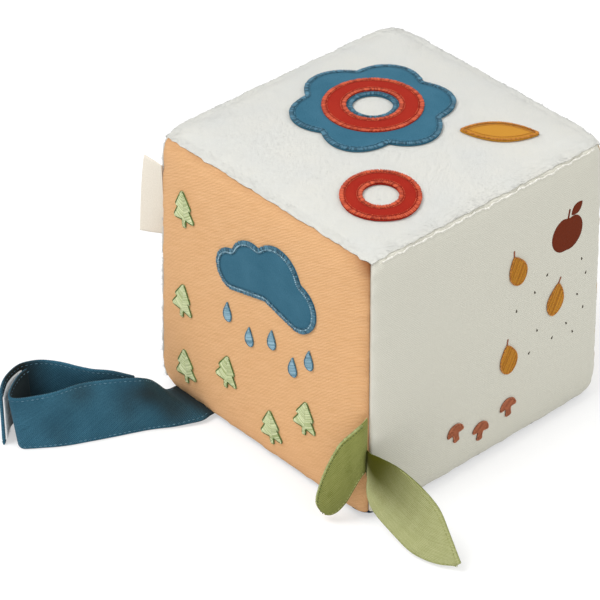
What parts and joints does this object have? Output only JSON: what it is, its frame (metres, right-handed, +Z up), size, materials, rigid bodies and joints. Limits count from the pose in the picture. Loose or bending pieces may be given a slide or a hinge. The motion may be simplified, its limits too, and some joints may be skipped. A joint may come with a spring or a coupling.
{
  "type": "soft fabric activity block",
  "caption": "Stuffed cube sewn from plush and cotton panels, with cloth motifs, two loose leaves, a folded tag and a flat strap that closes with hook-and-loop tape.",
  "frame": {"origin": "middle of the flat base, on the surface that the block stands on", "axes": "+Z up; -Y out of the peach front panel; +X out of the cream right panel"},
  "size_m": [0.1883, 0.2034, 0.1301],
  "materials": {
    "peach_cotton": "matt twill",
    "cream_sateen": "smooth, slight sheen",
    "oat_cotton": "matt",
    "white_plush": "short pile",
    "navy_cotton": "matt",
    "wadding": "loose fibre",
    "blue_velvet": "short pile, satin-stitched edge",
    "red_felt": "matt, satin-stitched edge",
    "mustard_cotton": "matt, satin-stitched edge",
    "pale_blue_thread": "satin stitch",
    "green_thread": "satin stitch",
    "mustard_thread": "satin stitch",
    "brown_thread": "matt",
    "olive_cotton": "matt",
    "pale_olive_cotton": "matt",
    "woven_tag": "woven tape, bare",
    "denim_strap": "matt twill",
    "white_tape": "hook and loop"
  },
  "bodies": {
    "block": {"panel_front_cotton": "peach_cotton", "panel_right_sateen": "cream_sateen", "panel_back_cotton": "oat_cotton", "panel_left_plush": "white_plush", "panel_top_plush": "white_plush", "panel_bottom_cotton": "navy_cotton", "filling": "wadding", "flower_blue": "blue_velvet", "flower_ring_red": "red_felt", "dot_ring_red": "red_felt", "leaf_mustard": "mustard_cotton", "cloud_blue": "blue_velvet", "raindrop_1": "pale_blue_thread", "raindrop_2": "pale_blue_thread", "raindrop_3": "pale_blue_thread", "raindrop_4": "pale_blue_thread", "raindrop_5": "pale_blue_thread", "tree_1": "green_thread", "tree_2": "green_thread", "tree_3": "green_thread", "tree_4": "green_thread", "tree_5": "green_thread", "tree_6": "green_thread", "pear_1": "mustard_thread", "pear_2": "mustard_thread", "pear_3": "mustard_thread", "mushroom_1": "brown_thread", "mushroom_2": "brown_thread", "mushroom_3": "brown_thread"},
    "leaf_left": {"leaf_left_front_ply": "olive_cotton", "leaf_left_back_ply": "pale_olive_cotton"},
    "leaf_right": {"leaf_right_front_ply": "olive_cotton", "leaf_right_back_ply": "pale_olive_cotton"},
    "tag": {"woven_tag": "woven_tag"},
    "strap_near_half": {"strap_near": "denim_strap", "hook_tape": "white_tape"},
    "strap_far_half": {"strap_far": "denim_strap", "loop_tape": "white_tape"}
  },
  "joints": [
    {"name": "leaf_left_flap", "type": "hinge", "parent": "block", "child": "leaf_left", "pos_m": [0.06109, -0.06435, 0], "axis": [0, 0, 1], "range_deg": [-12, 60]},
    {"name": "leaf_right_flap", "type": "hinge", "parent": "block", "child": "leaf_right", "pos_m": [0.0625, -0.06294, 0], "axis": [0, 0, 1], "range_deg": [-60, 50]},
    {"name": "tag_flap", "type": "hinge", "parent": "block", "child": "tag", "pos_m": [-0.06068, -0.06297, 0], "axis": [0, 0, 1], "range_deg": [-45, 75]},
    {"name": "strap_lift", "type": "hinge", "parent": "block", "child": "strap_near_half", "pos_m": [-0.041, -0.06428, 0.00345], "axis": [-1, 0, 0], "range_deg": [0, 35]},
    {"name": "loop_open", "type": "hinge", "parent": "strap_near_half", "child": "strap_far_half", "pos_m": [-0.04258, -0.08642, 0.00025], "axis": [0.11, 0.138, -0.9843], "range_deg": [0, 55]}
  ]
}
